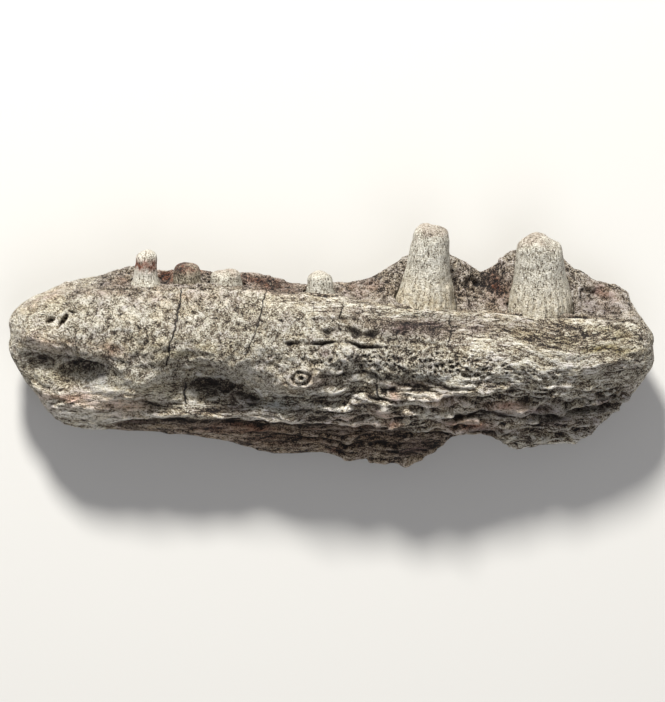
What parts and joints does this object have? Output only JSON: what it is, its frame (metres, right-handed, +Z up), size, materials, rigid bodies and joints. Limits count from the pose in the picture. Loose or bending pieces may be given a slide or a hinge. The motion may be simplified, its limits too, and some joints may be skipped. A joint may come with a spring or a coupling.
{
  "type": "fossil amphibian lower jaw piece",
  "caption": "Weathered fossil jaw fragment: a long ridged bone with broken teeth along one edge, lying on its inner side as a shelf or desk specimen.",
  "frame": {"origin": "middle of the overall box at the height of the flat on which the jaw lies", "axes": "+X along the jaw towards the end with the two large teeth, +Y towards the tooth tips, +Z up out of the bone's outer face"},
  "size_m": [0.105, 0.0398, 0.0225],
  "materials": {
    "fossil_bone": "matte, porous",
    "fossil_tooth": "satin, finely fluted"
  },
  "bodies": {
    "root": {"jaw_bone": "fossil_bone", "tooth_1": "fossil_tooth", "tooth_2": "fossil_tooth", "tooth_3": "fossil_tooth", "tooth_4": "fossil_tooth", "tooth_5": "fossil_tooth", "tooth_6": "fossil_tooth"}
  },
  "joints": []
}
